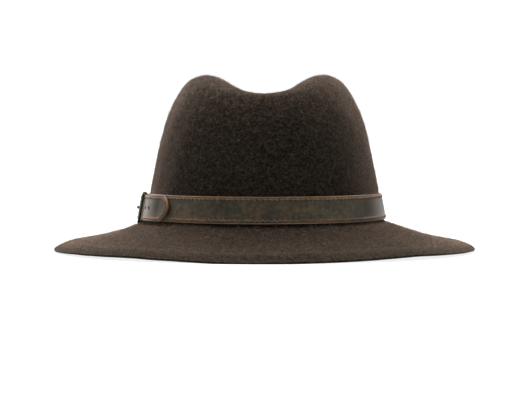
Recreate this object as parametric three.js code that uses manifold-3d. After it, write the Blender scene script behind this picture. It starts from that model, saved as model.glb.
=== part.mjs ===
// A traveller hat: a blocked felt hat with a dented crown, a sloping brim and a buckled leather band.
// Millimetres, +Z up. The origin is on the surface that the hat rests on, under the middle of the crown.
// The front of the hat faces -Y and the buckle is on the -X side.
import * as THREE from "three";
import { mergeVertices } from "three/addons/utils/BufferGeometryUtils.js";
import Module from "manifold-3d";

const wasm = await Module();
wasm.setup();

// Felt: the brim's reach beyond the crown's oval foot, the crown's top and the dent in it.
const BRIM_REACH = 65.5;
const CROWN_HEIGHT = 125.4;
const LIP_HEIGHT = 110.5;
const DENT_FLOOR = 101.5;
const DENT_FLOOR_END = 103.5;
const DENT_HALF_LENGTH = 38;
const FELT_THICKNESS = 2.7;
const FELT_SEGMENTS = 72;

// The brim dips only at the very front and back, and the crown's top falls away more gradually.
// Between the front and the sides the brim's edge waves up a little.
const BRIM_DIP_POWER = 8;
const CROWN_DIP_POWER = 2.4;
const BRIM_WAVE = 1.2;

// The brim's upper face, by its reach beyond the crown's foot: its height at the sides and at the two
// ends, and how much lower it lies on the buckle's side.
const BRIM_ROWS = [
  { reach: 64.5, sideHeight: 3.7, endHeight: 2.4, buckleDrop: 0.3 },
  { reach: 62.5, sideHeight: 4.2, endHeight: 2.48, buckleDrop: 0.3 },
  { reach: 57.0, sideHeight: 5.3, endHeight: 4.3, buckleDrop: 0.3 },
  { reach: 48.0, sideHeight: 7.2, endHeight: 6.5, buckleDrop: 0.4 },
  { reach: 32.0, sideHeight: 11.2, endHeight: 10.5, buckleDrop: 0.7 },
  { reach: 17.0, sideHeight: 15.9, endHeight: 15.7, buckleDrop: 1.5 },
  { reach: 6.0, sideHeight: 19.8, endHeight: 19.6, buckleDrop: 1.6 },
  { reach: 1.9, sideHeight: 21.2, endHeight: 21.1, buckleDrop: 1.2 },
];
const BUCKLE_DROP_POWER = 4;

// The crown's wall, from its foot to the ridge round the dent. The band lies between the first two rows.
const CROWN_ROWS = [
  { halfWidth: 85.3, halfLength: 105.6, sideHeight: 23.05, endHeight: 23.05 },
  { halfWidth: 82.0, halfLength: 102.3, sideHeight: 41.2, endHeight: 41.2 },
  { halfWidth: 78.4, halfLength: 98.9, sideHeight: 60.6, endHeight: 59.5 },
  { halfWidth: 74.6, halfLength: 95.6, sideHeight: 77.8, endHeight: 74.5 },
  { halfWidth: 69.6, halfLength: 91.5, sideHeight: 95.1, endHeight: 88.5 },
  { halfWidth: 64.5, halfLength: 87.3, sideHeight: 106.5, endHeight: 97.0 },
  { halfWidth: 57.0, halfLength: 81.5, sideHeight: 117.8, endHeight: 105.0 },
  { halfWidth: 50.0, halfLength: 76.0, sideHeight: 123.4, endHeight: 109.2 },
  { halfWidth: 42.5, halfLength: 69.5, sideHeight: CROWN_HEIGHT, endHeight: LIP_HEIGHT },
];
const WALL_FOOT = CROWN_ROWS[0];
const WALL_TOP = CROWN_ROWS[1];

// The dent's rings, each at a share of the way out from its floor line to the ridge.
const DENT_SHARES = [0.82, 0.64, 0.46, 0.3, 0.15, 0];
const DENT_STEEPNESS = 0.25;

// Band: a leather strap, wrapped with a small gap round the foot of the crown.
const GAP = 0.3;
const STRAP_WIDTH = 18.5;
const STRAP_THICKNESS = 1.6;
const SKIVED_THICKNESS = 0.8;
const FOLD_WIDTH = 15.5;
const STRAP_STEP = 4;
const TONGUE_END = 72.2;
const TONGUE_TIP_LENGTH = 11;
const TIP_SWEEP_DEGREES = 85;
const TIP_ROUNDNESS = 1.5;
const TIP_STEPS = 6;
const HOLE_RADIUS = 1.2;
const HOLE_SIDES = 12;
const SPARE_HOLES = [31, 40.6];

// Buckle: a frame of round wire with a middle bar. Distances run along the strap from the hat's side,
// towards the front.
const BAR_RADIUS = 0.85;
const MIDDLE_BAR_RADIUS = 0.8;
const MIDDLE_BAR_AT = 11;
const BAR_PITCH = 8.5;
const REAR_BAR_AT = MIDDLE_BAR_AT - BAR_PITCH;
const FRONT_BAR_AT = MIDDLE_BAR_AT + BAR_PITCH;
const FRAME_CORNER = 3;
const CORNER_STEP_DEGREES = 30;
const FRAME_STEPS = 44;
const MIDDLE_BAR_STEPS = 18;
const BEND_LENGTH = 1.45;
const BEND_HEIGHT = 1.1;
const WIRE_SIDES = 8;
const RAIL_CLEARANCE = 0.25;
const RAIL_RISE = STRAP_WIDTH / 2 + RAIL_CLEARANCE + BAR_RADIUS;

// How far out from the felt the bars lie. The middle bar is low, so that the tongue can pass over it.
const MIDDLE_BAR_OUT = GAP + SKIVED_THICKNESS + GAP + MIDDLE_BAR_RADIUS;
const REAR_BAR_OUT = 4.5;
const FRONT_BAR_OUT = 2 * (GAP + STRAP_THICKNESS) + GAP + BAR_RADIUS;

// The buckle and the strap in it sit a little below the middle of the band. Each route gives the middle
// of the strap's thickness, out from the felt.
const BUCKLE_DROP = 1.3;
const STRAP_OUT = GAP + STRAP_THICKNESS / 2;
const TONGUE_OUT = STRAP_OUT + STRAP_THICKNESS + GAP;

// The strap's first end is pared thin and folded over the middle bar, from the upper lap to the lower.
const FOLD_TURN = MIDDLE_BAR_RADIUS + GAP + SKIVED_THICKNESS / 2;
const FOLD_STEP_DEGREES = 30;
const UPPER_LAP = [
  { along: MIDDLE_BAR_AT + 3.6, out: MIDDLE_BAR_OUT + FOLD_TURN - 0.7 },
  { along: MIDDLE_BAR_AT + 1.8, out: MIDDLE_BAR_OUT + FOLD_TURN - 0.1 },
];
const LOWER_LAP = [
  { along: MIDDLE_BAR_AT + 4, out: MIDDLE_BAR_OUT - FOLD_TURN },
  { along: MIDDLE_BAR_AT + 9, out: STRAP_OUT, drop: 0.9, thickness: STRAP_THICKNESS },
];
const SINGLE_RUN_START = MIDDLE_BAR_AT + 16;

// The other end climbs over the frame's rear bar and the middle bar, and goes under the front bar.
const TONGUE_ROUTE = [
  { along: REAR_BAR_AT - 36, out: STRAP_OUT, drop: 0 },
  { along: REAR_BAR_AT - 22, out: STRAP_OUT, drop: 0.1 },
  { along: REAR_BAR_AT - 12, out: 1.5, drop: 0.6 },
  { along: REAR_BAR_AT - 4, out: 2.2, drop: 1.1 },
  { along: REAR_BAR_AT, out: 2.6, drop: BUCKLE_DROP },
  { along: REAR_BAR_AT + 4, out: 4.0, drop: BUCKLE_DROP },
  { along: MIDDLE_BAR_AT - 2, out: 4.85, drop: BUCKLE_DROP },
  { along: MIDDLE_BAR_AT, out: 5.1, drop: BUCKLE_DROP },
  { along: MIDDLE_BAR_AT + 2.5, out: 4.75, drop: BUCKLE_DROP },
  { along: FRONT_BAR_AT - 3.5, out: 3.85, drop: BUCKLE_DROP },
  { along: FRONT_BAR_AT, out: TONGUE_OUT, drop: BUCKLE_DROP },
  { along: FRONT_BAR_AT + 4, out: TONGUE_OUT, drop: 1.2 },
  { along: TONGUE_END - TONGUE_TIP_LENGTH, out: TONGUE_OUT, drop: 0.4 },
];

// Prong: a flat strip with an eye round the middle bar.
const PRONG_WIDTH = 2;
const PRONG_THICKNESS = 1.2;
const EYE_CLEARANCE = 0.25;
const EYE_WALL = 0.8;
const PRONG_DROP = BUCKLE_DROP + 0.7;
const PRONG_HOLE_RADIUS = 1.7;
const PRONG_HOLE_AT = MIDDLE_BAR_AT - 1.6;
const PRONG_HOLE_TOP = TONGUE_OUT + STRAP_THICKNESS + 4;
const SLOT_SIDES = 16;
const EYE_SEGMENTS = 8;
const PRONG_ROUTE = [
  { along: MIDDLE_BAR_AT - 0.9, out: 3.6 },
  { along: MIDDLE_BAR_AT - 1.4, out: 5.2 },
  { along: MIDDLE_BAR_AT - 2.6, out: 6.8 },
  { along: REAR_BAR_AT + 2, out: 6.75 },
  { along: REAR_BAR_AT - 1.4, out: 6.6 },
];

// Points closer than this are the same point.
const MERGE_DISTANCE = 1e-3;

const MATERIALS = {
  felt: new THREE.MeshStandardMaterial({ color: 0x3a3029, roughness: 0.95, metalness: 0 }),
  leather: new THREE.MeshStandardMaterial({ color: 0x3f3b30, roughness: 0.5, metalness: 0 }),
  metal: new THREE.MeshStandardMaterial({ color: 0x2c2a24, roughness: 0.4, metalness: 1 }),
};

// Turns a geometry into a solid for cutting and joining, with its shared vertices merged.
function toSolid(geometry) {
  const bare = new THREE.BufferGeometry();
  bare.setAttribute("position", geometry.getAttribute("position"));
  bare.setIndex(geometry.getIndex());
  const merged = mergeVertices(bare, MERGE_DISTANCE);
  const vertProperties = Float32Array.from(merged.getAttribute("position").array);
  const triVerts = Uint32Array.from(merged.getIndex().array);
  return new wasm.Manifold(new wasm.Mesh({ numProp: 3, vertProperties, triVerts }));
}

function toGeometry(solid) {
  const mesh = solid.getMesh();
  const geometry = new THREE.BufferGeometry();
  const places = Float32Array.from(mesh.vertProperties);
  geometry.setAttribute("position", new THREE.BufferAttribute(places, 3));
  geometry.setIndex(new THREE.BufferAttribute(Uint32Array.from(mesh.triVerts), 1));
  return geometry;
}

function indexedGeometry(points, triangles) {
  const geometry = new THREE.BufferGeometry();
  const places = points.flatMap((point) => point.toArray());
  geometry.setAttribute("position", new THREE.Float32BufferAttribute(places, 3));
  geometry.setIndex(triangles);
  return geometry;
}

// The triangles that join a list of closed rings, each with the same number of points.
function ringTriangles(ringCount, pointsPerRing) {
  const triangles = [];
  for (let ring = 0; ring + 1 < ringCount; ring += 1) {
    for (let i = 0; i < pointsPerRing; i += 1) {
      const next = (i + 1) % pointsPerRing;
      const a = ring * pointsPerRing + i;
      const b = ring * pointsPerRing + next;
      const c = a + pointsPerRing;
      const d = b + pointsPerRing;
      triangles.push(a, b, d, a, d, c);
    }
  }
  return triangles;
}

// The felt's upper face as rows, from the rim up the crown and down into the dent.
function feltRows() {
  const brim = BRIM_ROWS.map((row) => ({
    ...row,
    halfWidth: WALL_FOOT.halfWidth + row.reach,
    halfLength: WALL_FOOT.halfLength + row.reach,
    dipPower: BRIM_DIP_POWER,
    wave: (BRIM_WAVE * row.reach) / BRIM_REACH,
  }));
  const crown = CROWN_ROWS.map((row) => ({
    ...row,
    buckleDrop: 0,
    wave: 0,
    dipPower: CROWN_DIP_POWER,
  }));
  const ridge = crown[crown.length - 1];
  const dent = DENT_SHARES.map((share) => {
    const climb = Math.sin((Math.PI / 2) * share * (1 + DENT_STEEPNESS * (1 - share))) ** 2;
    return {
      ...ridge,
      halfWidth: ridge.halfWidth * share,
      halfLength: DENT_HALF_LENGTH + (ridge.halfLength - DENT_HALF_LENGTH) * share,
      sideHeight: DENT_FLOOR + (ridge.sideHeight - DENT_FLOOR) * climb,
      endHeight: DENT_FLOOR_END + (ridge.endHeight - DENT_FLOOR_END) * climb,
    };
  });
  return [...brim, ...crown, ...dent];
}

function feltPoint(row, angle) {
  const dip = (row.endHeight - row.sideHeight) * Math.abs(Math.sin(angle)) ** row.dipPower;
  const wave = row.wave * Math.sin(2 * angle) ** 2;
  const drop = row.buckleDrop * Math.max(-Math.cos(angle), 0) ** BUCKLE_DROP_POWER;
  return new THREE.Vector3(
    row.halfWidth * Math.cos(angle),
    row.halfLength * Math.sin(angle),
    row.sideHeight + dip + wave - drop,
  );
}

// The upper face's normal at each point, averaged over the faces round it. The two sides of the dent's
// floor line share their points.
function upperNormals(points, triangles) {
  const face = mergeVertices(indexedGeometry(points, triangles), MERGE_DISTANCE);
  face.computeVertexNormals();
  const places = face.getAttribute("position");
  const normals = face.getAttribute("normal");
  const key = (point) => point.toArray().map((value) => Math.fround(value).toFixed(2)).join(",");
  const found = new Map();
  for (let i = 0; i < places.count; i += 1) {
    const place = new THREE.Vector3().fromBufferAttribute(places, i);
    found.set(key(place), new THREE.Vector3().fromBufferAttribute(normals, i));
  }
  return points.map((point) => found.get(key(point)));
}

// The felt as one wall: an upper face, the lower face a wall's thickness under it, and a rounded rim
// between. Where the lower face would sink below the surface that the hat rests on, it is pressed flat.
function feltGeometry() {
  const rows = feltRows();
  const angles = Array.from({ length: FELT_SEGMENTS }, (_, i) => (2 * Math.PI * i) / FELT_SEGMENTS);
  const upper = rows.flatMap((row) => angles.map((angle) => feltPoint(row, angle)));
  const upperTriangles = ringTriangles(rows.length, FELT_SEGMENTS);
  const normals = upperNormals(upper, upperTriangles);
  const lower = upper.map((point, i) => {
    const under = point.clone().addScaledVector(normals[i], -FELT_THICKNESS);
    under.z = Math.max(under.z, 0);
    return under;
  });
  const nose = angles.map((angle, i) => new THREE.Vector3(
    (WALL_FOOT.halfWidth + BRIM_REACH) * Math.cos(angle),
    (WALL_FOOT.halfLength + BRIM_REACH) * Math.sin(angle),
    (upper[i].z + lower[i].z) / 2,
  ));
  const lowerStart = upper.length;
  const noseStart = 2 * upper.length;
  const triangles = [...upperTriangles];
  for (let i = 0; i < upperTriangles.length; i += 3) {
    const [a, b, c] = upperTriangles.slice(i, i + 3);
    triangles.push(lowerStart + a, lowerStart + c, lowerStart + b);
  }
  for (let i = 0; i < FELT_SEGMENTS; i += 1) {
    const next = (i + 1) % FELT_SEGMENTS;
    triangles.push(noseStart + i, noseStart + next, next, noseStart + i, next, i);
    triangles.push(noseStart + i, lowerStart + i, lowerStart + next);
    triangles.push(noseStart + i, lowerStart + next, noseStart + next);
  }
  const wall = indexedGeometry([...upper, ...lower, ...nose], triangles);
  return dropSlivers(mergeVertices(wall, MERGE_DISTANCE));
}

// Leaves out triangles that lost a corner when the dent's floor line was closed.
function dropSlivers(geometry) {
  const index = geometry.getIndex().array;
  const kept = [];
  for (let i = 0; i < index.length; i += 3) {
    const [a, b, c] = index.slice(i, i + 3);
    if (a !== b && b !== c && c !== a) kept.push(a, b, c);
  }
  geometry.setIndex(kept);
  return geometry;
}

// The band and buckle are laid out flat, with x along the strap, y up the crown's wall and z out from
// the felt. The strap's start is at the hat's -X side, and x runs towards the front.
const GIRTH_HALF_WIDTH = (WALL_FOOT.halfWidth + WALL_TOP.halfWidth) / 2;
const GIRTH_HALF_LENGTH = (WALL_FOOT.halfLength + WALL_TOP.halfLength) / 2;
const GIRTH_HEIGHT = (WALL_FOOT.sideHeight + WALL_TOP.sideHeight) / 2;
const GIRTH_DIVISIONS = 1440;
const girth = new THREE.EllipseCurve(0, 0, GIRTH_HALF_WIDTH, GIRTH_HALF_LENGTH);
girth.arcLengthDivisions = GIRTH_DIVISIONS;
const GIRTH_LENGTH = girth.getLength();

function wrapPoint(point) {
  const distance = ((point.x % GIRTH_LENGTH) + GIRTH_LENGTH) % GIRTH_LENGTH;
  const angle = 2 * Math.PI * girth.getUtoTmapping(0, distance);
  const cos = Math.cos(angle);
  const sin = Math.sin(angle);
  const along = new THREE.Vector3(GIRTH_HALF_WIDTH * sin, -GIRTH_HALF_LENGTH * cos, 0).normalize();
  const up = new THREE.Vector3(
    (WALL_FOOT.halfWidth - WALL_TOP.halfWidth) * cos,
    (WALL_FOOT.halfLength - WALL_TOP.halfLength) * sin,
    WALL_TOP.sideHeight - WALL_FOOT.sideHeight,
  ).normalize();
  const out = new THREE.Vector3().crossVectors(along, up);
  return new THREE.Vector3(-GIRTH_HALF_WIDTH * cos, -GIRTH_HALF_LENGTH * sin, GIRTH_HEIGHT)
    .addScaledVector(up, point.y)
    .addScaledVector(out, point.z);
}

function wrapGeometry(geometry) {
  const places = geometry.getAttribute("position");
  for (let i = 0; i < places.count; i += 1) {
    const wrapped = wrapPoint(new THREE.Vector3().fromBufferAttribute(places, i));
    places.setXYZ(i, wrapped.x, wrapped.y, wrapped.z);
  }
  return geometry;
}

// The strap's stations start at the end that is folded round the middle bar, go once round the crown and
// come back over the strap as the tongue.
function foldedEnd() {
  const fold = { thickness: SKIVED_THICKNESS, drop: BUCKLE_DROP, width: FOLD_WIDTH };
  const stations = UPPER_LAP.map((place) => ({ ...fold, ...place }));
  for (let degrees = 90; degrees <= 270; degrees += FOLD_STEP_DEGREES) {
    const angle = THREE.MathUtils.degToRad(degrees);
    stations.push({
      ...fold,
      along: MIDDLE_BAR_AT + FOLD_TURN * Math.cos(angle),
      out: MIDDLE_BAR_OUT + FOLD_TURN * Math.sin(angle),
    });
  }
  return [...stations, ...LOWER_LAP.map((place) => ({ ...fold, ...place }))];
}

function singleRun() {
  const end = GIRTH_LENGTH + TONGUE_ROUTE[0].along;
  const steps = Math.round((end - SINGLE_RUN_START) / STRAP_STEP);
  return Array.from({ length: steps }, (_, i) => ({
    along: THREE.MathUtils.lerp(SINGLE_RUN_START, end, i / steps),
    out: STRAP_OUT,
    thickness: STRAP_THICKNESS,
    drop: 0,
    width: STRAP_WIDTH,
  }));
}

function tongue() {
  const knots = TONGUE_ROUTE.map((knot) => (
    new THREE.Vector3(GIRTH_LENGTH + knot.along, knot.out, knot.drop)
  ));
  const stations = [];
  for (let i = 0; i + 1 < knots.length; i += 1) {
    const steps = Math.max(1, Math.round((knots[i + 1].x - knots[i].x) / STRAP_STEP));
    for (let step = 0; step < steps; step += 1) {
      const place = knots[i].clone().lerp(knots[i + 1], step / steps);
      stations.push({
        along: place.x,
        out: place.y,
        drop: place.z,
        thickness: STRAP_THICKNESS,
        width: STRAP_WIDTH,
      });
    }
  }
  return [...stations, ...tongueTip(knots[knots.length - 1])];
}

// The tip is between an arrowhead and a half round: a roundness of 1 would be straight and 2 an ellipse.
function tongueTip(shoulder) {
  const power = 2 / TIP_ROUNDNESS;
  return Array.from({ length: TIP_STEPS + 1 }, (_, i) => {
    const angle = THREE.MathUtils.degToRad((i * TIP_SWEEP_DEGREES) / TIP_STEPS);
    return {
      along: shoulder.x + TONGUE_TIP_LENGTH * Math.sin(angle) ** power,
      out: shoulder.y,
      drop: shoulder.z,
      thickness: STRAP_THICKNESS,
      width: STRAP_WIDTH * Math.cos(angle) ** power,
    };
  });
}

// A strap swept along its stations, with its four corners square to the line through them.
function strapGeometry(stations) {
  const points = stations.flatMap((station, i) => {
    const before = stations[Math.max(i - 1, 0)];
    const after = stations[Math.min(i + 1, stations.length - 1)];
    const line = new THREE.Vector2(after.along - before.along, after.out - before.out).normalize();
    const side = new THREE.Vector2(-line.y, line.x).multiplyScalar(station.thickness / 2);
    const rise = station.width / 2;
    const corners = [[-1, -1], [1, -1], [1, 1], [-1, 1]];
    return corners.map(([up, out]) => wrapPoint(new THREE.Vector3(
      station.along + out * side.x,
      up * rise - station.drop,
      station.out + out * side.y,
    )));
  });
  const triangles = ringTriangles(stations.length, 4);
  const last = points.length - 4;
  triangles.push(0, 2, 1, 0, 3, 2);
  triangles.push(last, last + 1, last + 2, last, last + 2, last + 3);
  return indexedGeometry(points, triangles);
}

// A round tool that stands out from the felt between two heights above it.
function holeTool(along, drop, radius, from, to) {
  const tool = new THREE.CylinderGeometry(radius, radius, to - from, HOLE_SIDES);
  tool.rotateX(Math.PI / 2);
  tool.translate(along, -drop, (from + to) / 2);
  return toSolid(wrapGeometry(tool));
}

// A round tool along the middle bar, which opens the fold for the prong's eye.
function slotTool() {
  const radius = MIDDLE_BAR_RADIUS + GAP + SKIVED_THICKNESS + GAP / 2;
  const tool = new THREE.CylinderGeometry(radius, radius, PRONG_WIDTH + 2 * GAP, SLOT_SIDES);
  tool.translate(MIDDLE_BAR_AT, -PRONG_DROP, MIDDLE_BAR_OUT);
  return toSolid(wrapGeometry(tool));
}

function bandGeometry() {
  const strap = toSolid(strapGeometry([...foldedEnd(), ...singleRun(), ...tongue()]));
  const underTongue = GAP / 2 + GAP + STRAP_THICKNESS;
  const overTongue = TONGUE_OUT + STRAP_THICKNESS;
  const prongHoleFrom = MIDDLE_BAR_OUT + MIDDLE_BAR_RADIUS;
  const prongHole = holeTool(PRONG_HOLE_AT, PRONG_DROP, PRONG_HOLE_RADIUS, prongHoleFrom, PRONG_HOLE_TOP);
  let cut = strap.subtract(slotTool()).subtract(prongHole);
  for (const along of SPARE_HOLES) {
    cut = cut.subtract(holeTool(along, BUCKLE_DROP / 2, HOLE_RADIUS, underTongue, overTongue));
  }
  return toGeometry(cut);
}

// The frame's wire: a rounded rectangle round the strap, leaning out from the rear bar to the front bar.
function frameRing() {
  const points = [];
  const corners = [
    { along: FRONT_BAR_AT, rise: RAIL_RISE, start: 0 },
    { along: REAR_BAR_AT, rise: RAIL_RISE, start: 90 },
    { along: REAR_BAR_AT, rise: -RAIL_RISE, start: 180 },
    { along: FRONT_BAR_AT, rise: -RAIL_RISE, start: 270 },
  ];
  for (const corner of corners) {
    const centreAlong = corner.along - FRAME_CORNER * Math.sign(corner.along - MIDDLE_BAR_AT);
    const centreRise = corner.rise - FRAME_CORNER * Math.sign(corner.rise);
    for (let turned = 0; turned <= 90; turned += CORNER_STEP_DEGREES) {
      const angle = THREE.MathUtils.degToRad(corner.start + turned);
      const along = centreAlong + FRAME_CORNER * Math.cos(angle);
      const rise = centreRise + FRAME_CORNER * Math.sin(angle);
      const share = (along - REAR_BAR_AT) / (FRONT_BAR_AT - REAR_BAR_AT);
      const out = THREE.MathUtils.lerp(REAR_BAR_OUT, FRONT_BAR_OUT, share);
      points.push(new THREE.Vector3(along, rise - BUCKLE_DROP, out));
    }
  }
  const path = new THREE.CatmullRomCurve3(points, true, "centripetal");
  return new THREE.TubeGeometry(path, FRAME_STEPS, BAR_RADIUS, WIRE_SIDES, true);
}

// The middle bar, bent down from the two rails to lie close to the felt.
function middleBar() {
  const railOut = (REAR_BAR_OUT + FRONT_BAR_OUT) / 2;
  const bendRise = RAIL_RISE - BEND_LENGTH;
  const bendOut = MIDDLE_BAR_OUT + BEND_HEIGHT;
  const route = [
    [RAIL_RISE, railOut],
    [RAIL_RISE, bendOut],
    [bendRise, MIDDLE_BAR_OUT],
    [0, MIDDLE_BAR_OUT],
    [-bendRise, MIDDLE_BAR_OUT],
    [-RAIL_RISE, bendOut],
    [-RAIL_RISE, railOut],
  ].map(([rise, out]) => new THREE.Vector3(MIDDLE_BAR_AT, rise - BUCKLE_DROP, out));
  const path = new THREE.CatmullRomCurve3(route, false, "centripetal");
  const section = new THREE.Shape();
  section.absarc(0, 0, MIDDLE_BAR_RADIUS, 0, 2 * Math.PI);
  return new THREE.ExtrudeGeometry(section, {
    steps: MIDDLE_BAR_STEPS,
    curveSegments: WIRE_SIDES / 2,
    extrudePath: path,
  });
}

function frameGeometry() {
  const frame = toSolid(frameRing()).add(toSolid(middleBar()));
  return wrapGeometry(toGeometry(frame));
}

// A flat outline seen edge on, given the strip's width and turned to stand across the strap.
function prongPart(outline) {
  const part = new THREE.ExtrudeGeometry(outline, {
    depth: PRONG_WIDTH,
    bevelEnabled: false,
    curveSegments: EYE_SEGMENTS,
  });
  part.translate(0, 0, -PRONG_WIDTH / 2);
  part.rotateX(Math.PI / 2);
  part.translate(0, -PRONG_DROP, 0);
  return toSolid(part);
}

function prongEye() {
  const inner = MIDDLE_BAR_RADIUS + EYE_CLEARANCE;
  const outline = new THREE.Shape();
  outline.absarc(MIDDLE_BAR_AT, MIDDLE_BAR_OUT, inner + EYE_WALL, 0, 2 * Math.PI);
  const hole = new THREE.Path();
  hole.absarc(MIDDLE_BAR_AT, MIDDLE_BAR_OUT, inner, 0, 2 * Math.PI);
  outline.holes.push(hole);
  return prongPart(outline);
}

function prongShank() {
  const last = PRONG_ROUTE.length - 1;
  const sides = [-1, 1].map((side) => PRONG_ROUTE.map((knot, i) => {
    const before = PRONG_ROUTE[Math.max(i - 1, 0)];
    const after = PRONG_ROUTE[Math.min(i + 1, last)];
    const line = new THREE.Vector2(after.along - before.along, after.out - before.out).normalize();
    const half = (i === last ? PRONG_THICKNESS / 2 : PRONG_THICKNESS) / 2;
    return new THREE.Vector2(knot.along - side * half * line.y, knot.out + side * half * line.x);
  }));
  return prongPart(new THREE.Shape([...sides[0], ...sides[1].reverse()]));
}

function prongGeometry() {
  return wrapGeometry(toGeometry(prongEye().add(prongShank())));
}

function piece(name, geometry, material) {
  const mesh = new THREE.Mesh(geometry, material);
  mesh.name = name;
  return mesh;
}

const hat = new THREE.Group();
hat.add(piece("felt_body", feltGeometry(), MATERIALS.felt));
hat.add(piece("hat_band", bandGeometry(), MATERIALS.leather));
const buckle = new THREE.Group();
buckle.add(piece("buckle_frame", frameGeometry(), MATERIALS.metal));
buckle.add(piece("buckle_prong", prongGeometry(), MATERIALS.metal));
hat.add(buckle);

export default hat;
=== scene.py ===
"""Dresses a felt hat: marled wool with loose fibres, and a stitched leather band with a buckle.

Shapes are worked out in millimetres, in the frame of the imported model, and turned into metres when a mesh
is made. The band and the buckle are laid out flat first, with x along the strap, y up the crown's wall and
z out from the felt, and are then wrapped round the crown.
"""

import math

import bmesh
import bpy
import numpy as np
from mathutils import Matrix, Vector


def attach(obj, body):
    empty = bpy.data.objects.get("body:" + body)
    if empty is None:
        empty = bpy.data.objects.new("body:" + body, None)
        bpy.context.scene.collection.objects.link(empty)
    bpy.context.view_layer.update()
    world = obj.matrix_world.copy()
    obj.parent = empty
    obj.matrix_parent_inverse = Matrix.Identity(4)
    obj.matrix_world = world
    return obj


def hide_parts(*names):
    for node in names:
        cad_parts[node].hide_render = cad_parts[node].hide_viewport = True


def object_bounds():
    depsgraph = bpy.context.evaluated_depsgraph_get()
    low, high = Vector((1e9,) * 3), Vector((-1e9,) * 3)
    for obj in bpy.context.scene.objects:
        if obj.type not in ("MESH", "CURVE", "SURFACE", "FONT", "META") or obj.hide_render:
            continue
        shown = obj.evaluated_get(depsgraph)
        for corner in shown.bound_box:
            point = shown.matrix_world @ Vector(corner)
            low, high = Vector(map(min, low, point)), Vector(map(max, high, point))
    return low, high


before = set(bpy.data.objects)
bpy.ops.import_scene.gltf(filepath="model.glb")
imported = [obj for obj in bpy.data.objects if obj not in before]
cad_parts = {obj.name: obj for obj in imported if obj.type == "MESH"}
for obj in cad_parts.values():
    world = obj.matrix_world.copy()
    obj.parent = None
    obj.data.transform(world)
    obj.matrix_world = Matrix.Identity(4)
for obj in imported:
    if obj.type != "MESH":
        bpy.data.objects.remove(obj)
cad_low, cad_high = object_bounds()

MM = 0.001
BODY = "root"

# Felt: the brim's reach beyond the crown's foot, the crown's top, the dent in it, and the rolled rim, which
# has a soft ridge a little way in, falls to a thinner edge, and turns down at the edge, where its last few
# millimetres get painted shade.
BRIM_HALF_WIDTH = cad_high.x / MM
BRIM_HALF_LENGTH = cad_high.y / MM
BRIM_REACH = 65.5
FOOT_HALF_WIDTH = BRIM_HALF_WIDTH - BRIM_REACH
FOOT_HALF_LENGTH = BRIM_HALF_LENGTH - BRIM_REACH
CROWN_HEIGHT = cad_high.z / MM
LIP_HEIGHT = 110.5
DENT_FLOOR = 101.5
DENT_FLOOR_END = 103.5
DENT_HALF_LENGTH = 38.0
FELT_THICKNESS = 2.7
BRIM_DIP_POWER = 8
CROWN_DIP_POWER = 2.4
BRIM_WAVE = 1.2
BUCKLE_DROP_POWER = 4

# The brim's upper face: reach, height at the sides, height at the ends, and drop on the buckle's side.
BRIM_ROWS = [
    (64.5, 3.7, 2.4, 0.3),
    (62.5, 4.2, 2.48, 0.3),
    (57.0, 5.3, 4.3, 0.3),
    (48.0, 7.2, 6.5, 0.4),
    (32.0, 11.2, 10.5, 0.7),
    (17.0, 15.9, 15.7, 1.5),
    (6.0, 19.8, 19.6, 1.1),
    (1.9, 21.2, 21.1, 0.6),
]

# The crown's wall: half width, half length, height at the sides and height at the ends.
CROWN_ROWS = [
    (FOOT_HALF_WIDTH, FOOT_HALF_LENGTH, 23.05, 23.05),
    (82.0, 102.3, 41.2, 41.2),
    (78.4, 98.9, 60.6, 59.5),
    (74.6, 95.6, 77.8, 74.5),
    (69.6, 91.5, 95.1, 88.5),
    (64.5, 87.3, 106.5, 97.0),
    (57.0, 81.5, 117.8, 105.0),
    (50.0, 76.0, 123.4, 109.2),
    (42.5, 69.5, CROWN_HEIGHT, LIP_HEIGHT),
]
DENT_SHARES = [0.9, 0.82, 0.73, 0.64, 0.55, 0.46, 0.38, 0.3, 0.22, 0.15, 0.08, 0.0]
DENT_STEEPNESS = 0.25
FELT_ANGLES = 288
FELT_STEPS = 104
RIM_STEPS = 8
RIM_NOSE = 1.0
RIM_SQUARENESS = 0.7
RIM_RIDGE = 1.1
RIM_RIDGE_AT = 9.0
RIM_RIDGE_REACH = 5.5
RIM_FALL = 1.1
RIM_FALL_REACH = 2.2
# The painted shade near the rim: how far it cuts the painted top light of level faces, and over what reach.
RIM_PAINTED_SHADE = 0.95
RIM_PAINTED_SHADE_REACH = 4.6

# The felt isn't quite even: shallow bulges, given by the size of a bulge and how far it stands out.
FELT_BULGES = [(70.0, 0.35), (26.0, 0.11), (11.0, 0.035)]

# Loose fibres on the felt, in groups of one size: length, width, how far they lean out of the surface, and
# how far their way along it strays from level.
FIBRES_IN_A_GROUP = 49000
FIBRE_GROUPS = {
    "felt_fibres_lying": (1.9, 0.11, 0.14, 0.9),
    "felt_fibres_raised": (1.5, 0.11, 0.65, 1.15),
    "felt_fibres_short": (0.9, 0.15, 0.9, 1.3),
}
FIBRE_SEED = 20
INSIDE_CROWN_SHARE = 0.15
UNDER_BRIM_SHARE = 0.5
NONE_BELOW_STRAP = 1.6
NONE_ABOVE_STRAP = 0.6
FIBRE_ROOT_DEPTH = 0.05
TUFT_SIZE = 5.0
TUFT_SEED = 40

# A fibre's tone: the darkest, how far it may be lighter, and how much a level face adds to each of the two;
# what a level face adds is painted top light, with its fibres' tones spread wider.
FIBRE_DARKEST = 0.22
FIBRE_TONE_RANGE = 0.38
LEVEL_PAINTED_TOP_LIGHT = 0.32
LEVEL_TONE_RANGE = 0.25

# How much a tuft changes its fibres' length and tone: on an upright face, and as much more on a level one.
TUFT_LENGTH_SWING = (0.08, 0.28)
TUFT_TONE_SWING = (0.04, 0.12)

# The brim's fibres and wool are painted lighter towards its two sides, from this far out, as a painted
# sheen.
SIDE_SHEEN_PAINTED_ON_FIBRES = 0.42
SIDE_SHEEN_PAINTED_ON_WOOL = 1.7
SIDE_FROM = 95.0

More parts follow.
